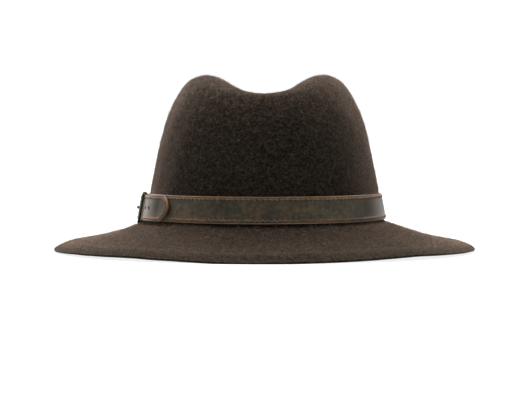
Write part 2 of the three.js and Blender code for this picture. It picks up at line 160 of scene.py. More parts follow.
# Strap and buckle, as the solids have them.
GAP = 0.3
STRAP_WIDTH = 18.5
STRAP_THICKNESS = 1.6
SKIVED_THICKNESS = 0.8
FOLD_WIDTH = 15.5
STRAP_STEP = 0.65
EDGE_ROUND = 0.65
INNER_EDGE_SHARE = 0.55
EDGE_FADE = 0.5
TONGUE_END = 73.4
TONGUE_TIP_LENGTH = 11.0
TIP_ROUNDNESS = 1.5
TIP_LIFT = 2.2
TIP_LIFT_FROM = 4.0
TIP_STEPS = 40
HOLE_RADIUS = 1.2
SPARE_HOLES = (31.0, 40.6)
BAR_RADIUS = 0.85
MIDDLE_BAR_RADIUS = 0.8
MIDDLE_BAR_AT = 11.0
BAR_PITCH = 8.5
REAR_BAR_AT = MIDDLE_BAR_AT - BAR_PITCH
FRONT_BAR_AT = MIDDLE_BAR_AT + BAR_PITCH
FRAME_CORNER = 3.0
FRAME_SAG = 1.055
FRAME_STEP = 0.6
BEND_LENGTH = 1.45
BEND_HEIGHT = 1.1
RAIL_RISE = STRAP_WIDTH / 2 + 0.25 + BAR_RADIUS
MIDDLE_BAR_OUT = GAP + SKIVED_THICKNESS + GAP + MIDDLE_BAR_RADIUS
REAR_BAR_OUT = 4.5
FRONT_BAR_OUT = 2 * (GAP + STRAP_THICKNESS) + GAP + BAR_RADIUS
FRAME_LEAN = ((REAR_BAR_AT, FRONT_BAR_AT), (REAR_BAR_OUT, FRONT_BAR_OUT))
BUCKLE_DROP = 1.3
STRAP_OUT = GAP + STRAP_THICKNESS / 2
TONGUE_OUT = STRAP_OUT + STRAP_THICKNESS + GAP
FOLD_TURN = MIDDLE_BAR_RADIUS + GAP + SKIVED_THICKNESS / 2
SINGLE_RUN_START = MIDDLE_BAR_AT + 16

# The tongue's way through the buckle: distance along the strap, distance out from the felt, and drop.
TONGUE_ROUTE = [
    (REAR_BAR_AT - 36, STRAP_OUT, 0.0),
    (REAR_BAR_AT - 22, STRAP_OUT, 0.1),
    (REAR_BAR_AT - 12, 1.5, 0.6),
    (REAR_BAR_AT - 4, 2.2, 1.1),
    (REAR_BAR_AT, 2.6, BUCKLE_DROP),
    (REAR_BAR_AT + 4, 4.0, BUCKLE_DROP),
    (MIDDLE_BAR_AT - 2, 4.85, BUCKLE_DROP),
    (MIDDLE_BAR_AT, 5.1, BUCKLE_DROP),
    (MIDDLE_BAR_AT + 2.5, 4.75, BUCKLE_DROP),
    (FRONT_BAR_AT - 3.5, 3.85, BUCKLE_DROP),
    (FRONT_BAR_AT, TONGUE_OUT, BUCKLE_DROP),
    (FRONT_BAR_AT + 4, TONGUE_OUT, 1.2),
    (TONGUE_END - TONGUE_TIP_LENGTH, TONGUE_OUT, 0.4),
]

# Prong: a flat strip with an eye round the middle bar.
PRONG_WIDTH = 2.0
PRONG_THICKNESS = 1.2
EYE_CLEARANCE = 0.25
EYE_WALL = 0.8
PRONG_DROP = BUCKLE_DROP + 0.7
PRONG_HOLE_RADIUS = 1.7
PRONG_HOLE_AT = MIDDLE_BAR_AT - 1.6
PRONG_TAPER = ([0, 0.8, 0.97, 1], [1, 0.85, 0.55, 0.3])
PRONG_ROUTE = [
    (MIDDLE_BAR_AT - 0.9, 3.6),
    (MIDDLE_BAR_AT - 1.4, 5.2),
    (MIDDLE_BAR_AT - 2.6, 6.8),
    (REAR_BAR_AT + 2, 6.75),
    (REAR_BAR_AT - 1.4, 6.6),
]

# Stitches: their spacing and how far they are in from the strap's edge, from the tip and from the buckle.
STITCH_SEED = 5
STITCH_PITCH = 3.7
STITCH_INSET = 2.2
TIP_STITCH_INSET = 2.6
STITCH_START = 17.0

# Two lines pressed into the strap's face, a crease and the stitches' groove: depth, place and width.
FACE_LINES = [(0.10, 1.15, 0.28), (0.16, STITCH_INSET, 0.42)]

# Each stitch: how it slants and bows between its two holes, its thread, and the pits at its ends.
STITCH_SLANT = 0.35
STITCH_BOW = 0.35
THREAD_RADIUS = 0.44
THREAD_RISE = 0.30
THREAD_SINK = 0.22
THREAD_STEPS = 9
THREAD_SIDES = 8
GROOVE_DEPTH = 0.14
PIT_DEPTH = 0.25
PIT_RADIUS = 0.80
PIT_SHIFT = 0.48
PIT_RINGS = [(0.0, 1.0), (0.16, 0.85), (0.22, 0.5)]
STRETCH_REACH = 0.85

# Two knots where the seam's thread ends, by distance along the strap and rise, and the spare holes' rims.
SEAM_KNOTS = [(105.5, -7.0), (215.5, -6.4)]
KNOT_RADIUS = 0.95
KNOT_THREAD_RADIUS = 0.36
HOLE_RIM_RADIUS = 0.3
HOLE_RIM_DARKNESS = 0.7
RING_STEPS = 24
RING_LIFT = 0.12

# Marks on the strap, of wear and of painted light: distance along, rise, reach along, reach up, how brown
# and how pale. The marks noted below are painted light, each as said; the rest are wear and the leather's
# own tone.
WEAR_AND_PAINTED_LIGHT_MARKS = [
    # Lighter on the tab beside its reflection: painted highlight.
    (41.0, 0.0, 5.0, 8.0, 0.1, 0.4),
    # Darker where the tab's reflection fades: painted shade.
    (56.0, 0.0, 10.0, 8.0, -0.2, -0.9),
    # Darker along the tab's top edge, against the lamp on it: painted shade.
    (50.0, 9.2, 22.0, 1.4, 0.3, -1.0),
    (23.0, 0.0, 1.8, 30.0, 2.5, -0.1),
    # Lighter top edge at the front: painted highlight.
    (155.0, 9.2, 42.0, 0.9, 0.0, 0.9),
    # Lighter lower edge at the front: painted highlight.
    (155.0, -9.2, 50.0, 0.9, 0.0, 0.8),
    (108.0, 1.0, 16.0, 5.0, -0.3, -0.15),
    (126.0, 3.0, 8.0, 5.0, -0.4, -0.10),
    (140.0, -1.0, 7.0, 7.5, 1.0, 0.0),
    (158.0, 4.0, 9.0, 4.0, -0.3, -0.1),
    (176.0, 1.0, 13.0, 3.0, 0.45, 0.25),
    # Lighter patch low on the front: painted highlight.
    (190.0, -3.0, 18.0, 6.0, 0.0, 0.35),
    (212.0, 1.0, 9.0, 6.0, 0.5, 0.0),
    # Darker towards the right side: painted shade.
    (240.0, 0.0, 13.0, 9.0, -0.2, -1.0),
    (278.0, 0.0, 14.0, 9.0, 0.0, -0.5),
    (330.0, -2.0, 14.0, 6.0, 0.7, 0.1),
    (405.0, 2.0, 20.0, 6.0, 0.0, 0.3),
    (470.0, 0.0, 12.0, 7.0, 0.8, 0.0),
    (540.0, -2.0, 16.0, 6.0, -0.3, -0.2),
]

# Camera, standing level with the photograph's view of the hat, and the photograph's frame.
CAMERA_DISTANCE = 1600.0
CAMERA_HEIGHT = 85.0
PHOTO_WIDTH = 511
PHOTO_HEIGHT = 402
MM_PER_PIXEL = 0.718
HAT_MIDDLE_X = 264.4
HORIZON_Y = 132.05
SENSOR_WIDTH = 36.0

# The studio round the hat is bright behind it and dim in front, over a wide floor that glows a little.
WORLD_FRONT = 0.05
WORLD_BACK = 1.0
WORLD_FADE_FROM = 0.62
WORLD_SEEN = 1.05
FLOOR_REACH = 14000.0
FLOOR_DROP = 0.02
FLOOR_GLOW = 0.85

# Wide soft suns: power, spread, tilt towards the back and turn to the left, with angles in degrees.
SUNS = {
    "overhead": (10.8, 60, 33, 4),
    "behind": (0.7, 30, 60, 25),
}

# Soft boxes aimed at the crown's foot: place in metres, width, height and power in watts.
SOFT_BOXES = {
    "side_right": ((1.3, -0.35, 0.45), 0.35, 0.6, 0.2),
    "side_left": ((-1.3, -0.1, 0.45), 0.35, 0.6, 0.3),
    "back_left": ((-0.72, 1.35, 0.25), 0.36, 0.6, 1.1),
}
LAMP_AIM = (0, 0, 0.04)
LAMP_COLOUR = (1.0, 0.93, 0.85)


def smooth_curve(knots, places):
    """Passes a smooth line through rows of numbers, without overshooting, and reads it at some places."""
    knots = np.asarray(knots, float)
    t, values = knots[:, 0], knots[:, 1:]
    step = np.diff(t)[:, None]
    slope = np.diff(values, axis=0) / step
    tangent = np.zeros_like(values)
    before, after = slope[:-1], slope[1:]
    same_way = before * after > 0
    weight_a = 2 * step[1:] + step[:-1]
    weight_b = step[1:] + 2 * step[:-1]
    with np.errstate(divide="ignore", invalid="ignore"):
        mean = (weight_a + weight_b) / (weight_a / before + weight_b / after)
    tangent[1:-1] = np.where(same_way, mean, 0)
    tangent[0], tangent[-1] = slope[0], slope[-1]
    i = np.clip(np.searchsorted(t, places, side="right") - 1, 0, len(t) - 2)
    h = (t[i + 1] - t[i])[:, None]
    u = (places - t[i])[:, None] / h
    return (
        (1 + 2 * u) * (1 - u) ** 2 * values[i]
        + u * (1 - u) ** 2 * h * tangent[i]
        + u * u * (3 - 2 * u) * values[i + 1]
        + u * u * (u - 1) * h * tangent[i + 1]
    )


def bulges(points, size, seed, waves=14):
    """A smooth wandering value between about -1 and 1 at each point, with bulges of the given size."""
    random = np.random.default_rng(seed)
    way = random.normal(size=(waves, 3))
    way *= (2 * math.pi / size) / np.linalg.norm(way, axis=1, keepdims=True)
    way *= random.uniform(0.6, 1.3, (waves, 1))
    turn = random.uniform(0, 2 * math.pi, waves)
    return np.sin(points @ way.T + turn).sum(-1) * math.sqrt(2 / waves)


def add_object(name, data):
    made = bpy.data.objects.new(name, data)
    bpy.context.scene.collection.objects.link(made)
    return made


def make_object(name, points, faces, smooth=True):
    """Makes a mesh object from points in millimetres."""
    points = np.asarray(points).reshape(-1, 3) * MM
    mesh = bpy.data.meshes.new(name)
    mesh.from_pydata(points.tolist(), [], [list(map(int, face)) for face in faces])
    mesh.validate()
    if smooth:
        mesh.shade_smooth()
    return add_object(name, mesh)


def tidy_mesh(made, merge=1e-3):
    """Joins points that fall together and turns every face outwards."""
    work = bmesh.new()
    work.from_mesh(made.data)
    bmesh.ops.remove_doubles(work, verts=work.verts, dist=merge * MM)
    bmesh.ops.dissolve_degenerate(work, edges=work.edges, dist=merge * MM / 10)
    bmesh.ops.recalc_face_normals(work, faces=work.faces)
    work.to_mesh(made.data)
    work.free()
    made.data.update()


def loop_faces(rings, around, closed=False):
    """The four-sided faces that join closed rings of points, all with the same number of points."""
    ring = np.arange(rings if closed else rings - 1)[:, None]
    here, after = ring * around, (ring + 1) % rings * around
    point = np.arange(around)
    turned = (point + 1) % around
    return np.stack([here + point, here + turned, after + turned, after + point], -1).reshape(-1, 4)


def bar_faces(rings, sides, closed=False):
    """The faces of a bar made of rings: joined end to end, or with a flat face at each end."""
    if closed:
        return loop_faces(rings, sides, True)
    last = (rings - 1) * sides
    return loop_faces(rings, sides).tolist() + [list(range(sides)), list(range(last, last + sides))[::-1]]


def repeated(faces, pieces, points_each):
    """The same faces for each of many like pieces in one mesh."""
    return [[corner + piece * points_each for corner in face] for piece in range(pieces) for face in faces]


def unit(vectors):
    return vectors / np.linalg.norm(vectors, axis=-1, keepdims=True)


def directions(path, closed=False):
    """The way that a path runs at each of its points."""
    if closed:
        return unit(np.roll(path, -1, 0) - np.roll(path, 1, 0))
    return unit(np.gradient(path, axis=0))


def distances(path):
    """How far along a path each of its points is."""
    return np.concatenate([[0], np.cumsum(np.linalg.norm(np.diff(path, axis=0), axis=1))])


def circle(sides):
    """The cosines and sines of evenly spaced angles round a circle."""
    angle = np.arange(sides) * 2 * math.pi / sides
    return np.cos(angle), np.sin(angle)


def signed_power(values, power):
    """Raises numbers to a power and keeps their signs."""
    return np.sign(values) * np.abs(values) ** power


def point_values(made, name, values):
    """Gives a mesh one number at each point, for its material to read."""
    attribute = made.data.attributes.new(name, "FLOAT", "POINT")
    attribute.data.foreach_set("value", np.asarray(values).reshape(-1).astype(np.float32))


def felt_rows():
    """The felt's upper face in rows: half width, half length, side height, end height, drop, wave, power."""
    rows = []
    for reach, side, end, drop in BRIM_ROWS:
        width, length = FOOT_HALF_WIDTH + reach, FOOT_HALF_LENGTH + reach
        rows.append((width, length, side, end, drop, BRIM_WAVE * reach / BRIM_REACH, BRIM_DIP_POWER))
    for width, length, side, end in CROWN_ROWS:
        rows.append((width, length, side, end, 0, 0, CROWN_DIP_POWER))
    width, length, side, end = CROWN_ROWS[-1]
    for share in DENT_SHARES:
        climb = math.sin(math.pi / 2 * share * (1 + DENT_STEEPNESS * (1 - share))) ** 2
        rows.append((
            width * share,
            DENT_HALF_LENGTH + (length - DENT_HALF_LENGTH) * share,
            DENT_FLOOR + (side - DENT_FLOOR) * climb,
            DENT_FLOOR_END + (end - DENT_FLOOR_END) * climb,
            0, 0, CROWN_DIP_POWER,
        ))
    return np.array(rows)


def felt_upper_face():
    """Points of the felt's upper face, as rows from the rim to the dent's floor, and the way out at each."""
    rows = felt_rows()
    reached = distances(rows[:, [0, 2]])
    table = smooth_curve(np.column_stack([reached, rows]), np.linspace(0, reached[-1], FELT_STEPS))
    table[-1] = rows[-1]
    cos, sin = circle(FELT_ANGLES)
    width, length, side, end, drop, wave, power = (column[:, None] for column in table.T)
    dip = (end - side) * np.abs(sin) ** power
    lean = drop * np.maximum(-cos, 0) ** BUCKLE_DROP_POWER
    height = side + dip + wave * (2 * sin * cos) ** 2 - lean
    upper = np.stack([width * cos, length * sin, height], -1)
    around = np.roll(upper, -1, 1) - np.roll(upper, 1, 1)
    along = np.gradient(upper, axis=0)
    out = np.cross(around, along)
    out /= np.maximum(np.linalg.norm(out, axis=-1, keepdims=True), 1e-9)
    out[-1] = (0, 0, 1)
    return upper, out


def uneven(upper, out):
    """Moves the felt's upper face by its shallow bulges, less where it lies on the floor."""
    moved = upper.copy()
    steady = np.clip(upper[..., 2:] / 12, 0.25, 1)
    for seed, (size, depth) in enumerate(FELT_BULGES):
        moved += out * steady * (depth * bulges(upper, size, seed))[..., None]
    return moved


def rolled_rim(upper):
    """Rounds the brim's upper face over at the rim: a soft ridge, then a fall to a thinner edge."""
    from_rim = np.linalg.norm(upper - upper[0], axis=-1)
    ridge = RIM_RIDGE * np.exp(-((from_rim - RIM_RIDGE_AT) / RIM_RIDGE_REACH) ** 2)
    fall = RIM_FALL * np.exp(-from_rim / RIM_FALL_REACH)
    rolled = upper.copy()
    rolled[..., 2] += ridge - fall
    return rolled


def levelness(upper, out):
    """How level the felt's upper face lies, from 0 to 1, cut down near the rim to paint shade there."""
    from_rim = np.linalg.norm(upper - upper[0], axis=-1)
    return np.clip(out[..., 2], 0, 1) * (1 - RIM_PAINTED_SHADE * np.exp(-from_rim / RIM_PAINTED_SHADE_REACH))


def rim_rings(upper, lower):
    """The rings of points that round the felt's cut edge, from its lower face to its upper one."""
    middle = (upper[0] + lower[0]) / 2
    half = (upper[0] - lower[0]) / 2
    outward = upper[0] - upper[1]
    outward -= half * (np.sum(outward * half, -1) / np.sum(half * half, -1))[:, None]
    outward *= RIM_NOSE / np.linalg.norm(outward, axis=-1, keepdims=True)
    turns = np.linspace(math.pi, 0, RIM_STEPS + 2)[1:-1]
    across = signed_power(np.cos(turns), RIM_SQUARENESS)
    beyond = np.sin(turns) ** RIM_SQUARENESS
    return np.array([middle + a * half + b * outward for a, b in zip(across, beyond)])


def felt_mesh():
    """The crown and the brim as one wall of felt. Also gives its two faces and the way out."""
    upper, out = felt_upper_face()
    upper = uneven(upper, out)
    lower = upper - FELT_THICKNESS * out
    lower[..., 2] = np.maximum(lower[..., 2], 0)
    upper = rolled_rim(upper)
    rings = np.concatenate([lower[::-1], rim_rings(upper, lower), upper])
    made = make_object("felt_hat", rings, loop_faces(len(rings), FELT_ANGLES))
    # The level values paint level faces lighter in the material, as painted top light, and less so near the
    # rim, as painted shade.
    level = levelness(upper, out)
    point_values(made, "level", np.concatenate([level[::-1], np.repeat(level[:1], RIM_STEPS, 0), level]))
    tidy_mesh(made)
    return made, upper, lower, out


def scatter(upper, lower, out, count, random):
    """Random points over the felt, each with its way out, a way along it and its levelness.

    There are fewer on the underside, and none where the strap lies.
    """
    sheets = [(upper, out, levelness(upper, out)), (lower, -out, np.zeros(out.shape[:2]))]
    corners, ways, levels = [], [], []
    for face, way, level in sheets:
        a, b, c = face[:-1], np.roll(face, -1, 1)[:-1], face[1:]
        corners.append(np.stack([a, b - a, c - a], -2).reshape(-1, 3, 3))
        ways.append(way[:-1].reshape(-1, 3))
        levels.append(level[:-1].reshape(-1))
    corners, ways, levels = map(np.concatenate, (corners, ways, levels))
    areas = np.linalg.norm(np.cross(corners[:, 1], corners[:, 2]), axis=-1)
    under = np.arange(len(areas)) >= len(areas) / 2
    height = corners[:, 0, 2]
    foot, strap_top = CROWN_ROWS[0][2], CROWN_ROWS[1][2]
    areas = areas * np.where(under, np.where(height > foot, INSIDE_CROWN_SHARE, UNDER_BRIM_SHARE), 1)
    areas[~under & (height > foot - NONE_BELOW_STRAP) & (height < strap_top + NONE_ABOVE_STRAP)] = 0
    cell = random.choice(len(areas), count, p=areas / areas.sum())
    share = random.random((count, 2))
    place = corners[cell, 0] + share[:, :1] * corners[cell, 1] + share[:, 1:] * corners[cell, 2]
    return place, ways[cell], unit(corners[cell, 1]), levels[cell]


def fibre_mesh(name, sizes, felt_faces, seed):
    """Loose fibres: thin spikes with three sides, rooted in the felt, in tufts of like length and tone."""
    random = np.random.default_rng(seed)
    count = FIBRES_IN_A_GROUP
    usual_length, usual_width, usual_lean, spread = sizes
    place, way, side, level = scatter(*felt_faces, count, random)
    tuft = np.clip(bulges(place, TUFT_SIZE, TUFT_SEED), -1.8, 1.8)
    longer = (TUFT_LENGTH_SWING[0] + TUFT_LENGTH_SWING[1] * level) * tuft
    aside = np.clip((np.abs(place[:, 0]) - SIDE_FROM) / (BRIM_HALF_WIDTH - SIDE_FROM), 0, 1)
    # Fibres on level faces are painted lighter, as painted top light; the tufts' swing is the wool's own
    # tone.
    lighter = (TUFT_TONE_SWING[0] + TUFT_TONE_SWING[1] * level) * tuft + LEVEL_PAINTED_TOP_LIGHT * level
    # Fibres on the brim's level sides are painted lighter still, as painted sheen.
    lighter += SIDE_SHEEN_PAINTED_ON_FIBRES * level * aside
    stray = random.uniform(-1, 1, count) * spread
    turn = (stray + math.pi * random.integers(0, 2, count))[:, None]
    along = np.cos(turn) * side + np.sin(turn) * np.cross(way, side)
    lean = (usual_lean * random.uniform(0.4, 1.4, count) * (1 + longer / 2))[:, None]
    length = (usual_length * random.uniform(0.45, 1.5, count) * (1 + longer))[:, None]
    heading = along * np.cos(lean) + way * np.sin(lean)
    width = (usual_width * random.uniform(0.7, 1.4, count) * (0.75 + 0.3 * level))[:, None]
    beside = unit(np.cross(heading, way))
    above = np.cross(beside, heading)
    root = place - way * FIBRE_ROOT_DEPTH
    tip = root + heading * length
    for end in (tip, root):
        end[:, 2] = np.maximum(end[:, 2], 0.02)
    corners = [root + beside * width / 2, root - beside * width / 2, root + above * width * 0.8, tip]
    faces = np.array([(0, 2, 1), (0, 1, 3), (1, 2, 3), (2, 0, 3)])
    faces = (np.arange(count)[:, None, None] * len(corners) + faces).reshape(-1, 3)
    made = make_object(name, np.stack(corners, 1), faces, smooth=False)
    tone = (FIBRE_TONE_RANGE + LEVEL_TONE_RANGE * level) * random.random(count) + FIBRE_DARKEST + lighter
    point_values(made, "fibre_tone_and_painted_light", np.repeat(np.clip(tone, 0, 1), len(corners)))
    return made


# The oval that the strap is wrapped on, half way up the band.
GIRTH_HALF_WIDTH = (CROWN_ROWS[0][0] + CROWN_ROWS[1][0]) / 2
GIRTH_HALF_LENGTH = (CROWN_ROWS[0][1] + CROWN_ROWS[1][1]) / 2
GIRTH_HEIGHT = (CROWN_ROWS[0][2] + CROWN_ROWS[1][2]) / 2
girth_angles = np.linspace(0, 2 * math.pi, 7201)
girth_points = np.column_stack([
    -GIRTH_HALF_WIDTH * np.cos(girth_angles),
    -GIRTH_HALF_LENGTH * np.sin(girth_angles),
])
girth_reached = distances(girth_points)
GIRTH_LENGTH = girth_reached[-1]
SHOULDER_AT = GIRTH_LENGTH + TONGUE_ROUTE[-1][0]


def wrap(points):
    """Wraps points round the crown: x along the strap, y up the wall, z out from the felt."""
    points = np.asarray(points, float)
    angle = np.interp(points[..., 0] % GIRTH_LENGTH, girth_reached, girth_angles)
    cos, sin = np.cos(angle), np.sin(angle)
    flat = np.zeros_like(cos)
    along = unit(np.stack([GIRTH_HALF_WIDTH * sin, -GIRTH_HALF_LENGTH * cos, flat], -1))
    up = unit(np.stack([
        (CROWN_ROWS[0][0] - CROWN_ROWS[1][0]) * cos,
        (CROWN_ROWS[0][1] - CROWN_ROWS[1][1]) * sin,
        flat + CROWN_ROWS[1][2] - CROWN_ROWS[0][2],
    ], -1))
    out = np.cross(along, up)
    base = np.stack([-GIRTH_HALF_WIDTH * cos, -GIRTH_HALF_LENGTH * sin, flat + GIRTH_HEIGHT], -1)
    return base + up * points[..., 1:2] + out * points[..., 2:3]


def strap_route():
    """The strap's middle layer: distance along, distance out, drop, thickness and width at close steps."""
    fold = [
        (MIDDLE_BAR_AT + 3.6, MIDDLE_BAR_OUT + FOLD_TURN - 0.7),
        (MIDDLE_BAR_AT + 1.8, MIDDLE_BAR_OUT + FOLD_TURN - 0.1),
    ]
    turn = np.radians(np.arange(90, 271, 15))
    fold += zip(MIDDLE_BAR_AT + FOLD_TURN * np.cos(turn), MIDDLE_BAR_OUT + FOLD_TURN * np.sin(turn))
    fold.append((MIDDLE_BAR_AT + 4, MIDDLE_BAR_OUT - FOLD_TURN))
    rows = [(along, out, BUCKLE_DROP, SKIVED_THICKNESS, FOLD_WIDTH) for along, out in fold]
    rows.append((MIDDLE_BAR_AT + 9, STRAP_OUT, 0.9, STRAP_THICKNESS, FOLD_WIDTH))
    run = np.arange(SINGLE_RUN_START, GIRTH_LENGTH + TONGUE_ROUTE[0][0], STRAP_STEP)
    rows += [(along, STRAP_OUT, 0, STRAP_THICKNESS, STRAP_WIDTH) for along in run]
    places = np.arange(TONGUE_ROUTE[0][0], TONGUE_ROUTE[-1][0], STRAP_STEP)
    tongue = smooth_curve(TONGUE_ROUTE, places)
    rows += [
        (GIRTH_LENGTH + place, out, drop, STRAP_THICKNESS, STRAP_WIDTH)
        for place, (out, drop) in zip(places, tongue)
    ]
    return np.array(rows)


def strap_section():
    """Distances in from the strap's edge at which its outer face has points, from one edge to the middle."""
    near = [0, 0.05, 0.17, 0.36, EDGE_ROUND, 1.0, 1.4, 1.75, 2.1, 2.45, 2.9, 3.6, 4.8, 6.2, 7.7]
    return np.array(near + [STRAP_WIDTH / 2])


def rounding(inset, radius):
    """How far a rounded edge has fallen below the face at a distance in from the edge."""
    missing = np.clip(radius - inset, 0, radius)
    return radius - np.sqrt(radius ** 2 - missing ** 2)


def face_relief(inset):
    """The outer face's low relief: softly crowned, with the lines pressed into it."""
    relief = 0.12 * np.clip((inset - 2.6) / 4, 0, 1) ** 0.8
    for depth, place, width in FACE_LINES:
        relief -= depth * np.exp(-((inset - place) / width) ** 2)
    return relief


def tip_outline(angles):
    """The tongue's tip between an arrowhead and a half round: shares of its length and of its half width."""
    power = 2 / TIP_ROUNDNESS
    return np.abs(np.sin(angles)) ** power, signed_power(np.cos(angles), power)


def tip_inset(across, forward):
    """How far a place in the tongue's tip is from its outline, by its shares of half width and length."""
    power = TIP_ROUNDNESS
    reached = np.maximum(across ** power + forward ** power, 1e-6) ** (1 / power)
    slope_across = (across / reached) ** (power - 1) / (STRAP_WIDTH / 2)
    slope_forward = (forward / reached) ** (power - 1) / TONGUE_TIP_LENGTH
    return (1 - reached) / np.hypot(slope_across, slope_forward)


def tip_lift(along, rise):
    """How far the tongue's tip stands off the strap under it: most at its end and its lower side."""
    reach = TONGUE_TIP_LENGTH + TIP_LIFT_FROM
    share = np.clip((along - SHOULDER_AT + TIP_LIFT_FROM) / reach, 0, 1) ** 1.3
    return TIP_LIFT * share * (0.35 + 0.65 * np.clip(0.5 - rise / STRAP_WIDTH, 0, 1))


def nearness(along, rise, marks, reach):
    """How near each place on the strap is to the closest mark: 1 on it, and 0 well past its reach."""
    near = np.zeros(rise.shape)
    for i, place in enumerate(along):
        close = marks[np.abs(marks[:, 0] - place) < 3 * reach]
        if len(close):
            apart = np.hypot(close[:, :1] - place, close[:, 1:] - rise[i])
            near[i] = np.exp(-(apart.min(0) / reach) ** 2)
    return near


def wear_and_painted_light(along, rise):
    """How brown and how pale the marks make each place on the strap, with wear and with painted light."""
    brown, pale = np.zeros(rise.shape), np.zeros(rise.shape)
    for at, high, reach_along, reach_up, to_brown, to_pale in WEAR_AND_PAINTED_LIGHT_MARKS:
        shift = (along % GIRTH_LENGTH - at)[:, None] / reach_along
        share = np.exp(-shift ** 2 - ((rise - high) / reach_up) ** 2)
        brown += to_brown * share
        pale += to_pale * share
    return brown, pale


def route_with_tip():
    """The whole route, with the share of the width left at each step and how far into the tip it is."""
    route = strap_route()
    forward, narrow = tip_outline(np.linspace(0, math.pi / 2, TIP_STEPS + 1)[1:])
    tip = np.repeat(route[-1:], TIP_STEPS, 0)
    tip[:, 0] = SHOULDER_AT + TONGUE_TIP_LENGTH * forward
    left = np.concatenate([np.ones(len(route)), narrow])
    into_tip = np.concatenate([np.zeros(len(route)), forward])
    return np.concatenate([route, tip]), left[:, None], into_tip[:, None]


def places_across(route, left, into_tip):
    """Places across the strap at each step of its route, and how far each is in from the edge."""
    insets = strap_section()
    outer = np.concatenate([insets, insets[-2::-1]])
    sign = np.concatenate([-np.ones(len(insets)), np.ones(len(insets) - 1)])
    share = sign * (1 - outer / (STRAP_WIDTH / 2))
    half = route[:, 4, None] / 2
    across = share * half * left
    straight_inset = half - np.abs(across)
    round_inset = np.minimum(tip_inset(np.abs(share) * left, into_tip), straight_inset)
    return across, np.maximum(np.where(into_tip > 0, round_inset, straight_inset), 0)


def strap_points(route, across, inset):
    """Points round the strap at each step of its route: over the outer face and back along the inner one."""
    line = directions(route[:, :2])
    thick = route[:, 3, None]
    scale = thick / STRAP_THICKNESS
    outer = thick / 2 - rounding(inset, EDGE_ROUND) * scale + face_relief(inset) * scale ** 2
    inner = -thick / 2 + rounding(inset, EDGE_ROUND * INNER_EDGE_SHARE) * scale
    rings = []
    for heights, order in ((outer, slice(None)), (inner, slice(None, None, -1))):
        ring = np.stack([
            route[:, 0, None] - heights * line[:, 1:],
            across - route[:, 2, None],
            route[:, 1, None] + heights * line[:, :1],
        ], -1)
        rings.append(ring[:, order])
    points = np.concatenate(rings, 1)
    points[..., 2] += tip_lift(points[..., 0], points[..., 1])
    return points


def strap_mesh():
    """The strap, with the values that its leather's colours go by."""
    route, left, into_tip = route_with_tip()
    across, inset = places_across(route, left, into_tip)
    points = strap_points(route, across, inset)
    around = points.shape[1]
    faces = loop_faces(len(points), around).tolist() + [list(range(around))]
    made = make_object("leather_strap", wrap(points), faces)
    # Marks of wear, with some painted highlight and painted shade.
    brown, pale = wear_and_painted_light(route[:, 0], across)
    values = {
        "edge": np.exp(-inset / EDGE_FADE),
        "stretched": nearness(route[:, 0], across, stitch_line(), STRETCH_REACH),
        "worn_brown": brown,
        "pale_wear_and_painted_light": pale,
    }
    for name, value in values.items():
        point_values(made, name, np.concatenate([value, value[:, ::-1]], 1))
    flat = made.data.attributes.new("laid_flat", "FLOAT_VECTOR", "POINT")
    flat.data.foreach_set("vector", (points * MM).astype(np.float32).reshape(-1))
    tidy_mesh(made)
    return made


def tube(name, path, radius, sides=16, closed=False, smooth=True):
    """A round bar along a path laid out flat, wrapped round the crown."""
    path = np.asarray(path, float)
    line = directions(path, closed)
    across = np.zeros_like(line)
    start = np.array([0.0, 0.0, 1.0])
    if abs(line[0] @ start) > 0.9:
        start = np.array([1.0, 0.0, 0.0])
    normal = unit(start - line[0] * (line[0] @ start))
    for i, way in enumerate(line):
        normal = unit(normal - way * (normal @ way))
        across[i] = normal
    cos, sin = circle(sides)
    ring = across[:, None] * cos[:, None] + np.cross(line, across)[:, None] * sin[:, None]
    points = path[:, None] + radius * ring
    made = make_object(name, wrap(points), bar_faces(len(path), sides, closed), smooth)
    tidy_mesh(made)
    return made


def combine(target, tool, operation):
    """Cuts a tool from a piece, or joins it on, and removes the tool."""
    modifier = target.modifiers.new(operation.lower(), "BOOLEAN")
    modifier.operation = operation
    modifier.solver = "EXACT"
    modifier.object = tool
    bpy.context.view_layer.objects.active = target
    with bpy.context.temp_override(object=target, active_object=target, selected_objects=[target]):
        bpy.ops.object.modifier_apply(modifier=modifier.name)
    bpy.data.objects.remove(tool)


def cut_hole(strap, start, end, radius, rings=3):
    """Cuts a round hole between two points laid out flat."""
    tool = tube("tool_hole", np.linspace(start, end, rings), radius, sides=24, smooth=False)
    combine(strap, tool, "DIFFERENCE")


def cut_strap_holes(strap):
    """Opens the fold for the prong's eye, and the tongue for the prong and for its two spare holes."""
    fold_radius = MIDDLE_BAR_RADIUS + GAP + SKIVED_THICKNESS + GAP / 2
    rises = [-PRONG_DROP + way * (PRONG_WIDTH / 2 + GAP) for way in (-1, 1)]
    cut_hole(strap, *[(MIDDLE_BAR_AT, rise, MIDDLE_BAR_OUT) for rise in rises], fold_radius, rings=2)
    over_bar = MIDDLE_BAR_OUT + MIDDLE_BAR_RADIUS
    over_tongue = TONGUE_OUT + STRAP_THICKNESS
    holes = [(PRONG_HOLE_AT, -PRONG_DROP, over_bar, over_tongue + 4, PRONG_HOLE_RADIUS)]
    for along in SPARE_HOLES:
        holes.append((along, -BUCKLE_DROP / 2, 1.5 * GAP + STRAP_THICKNESS, over_tongue, HOLE_RADIUS))
    for along, rise, low, high, radius in holes:
        cut_hole(strap, (along, rise, low), (along, rise, high), radius)


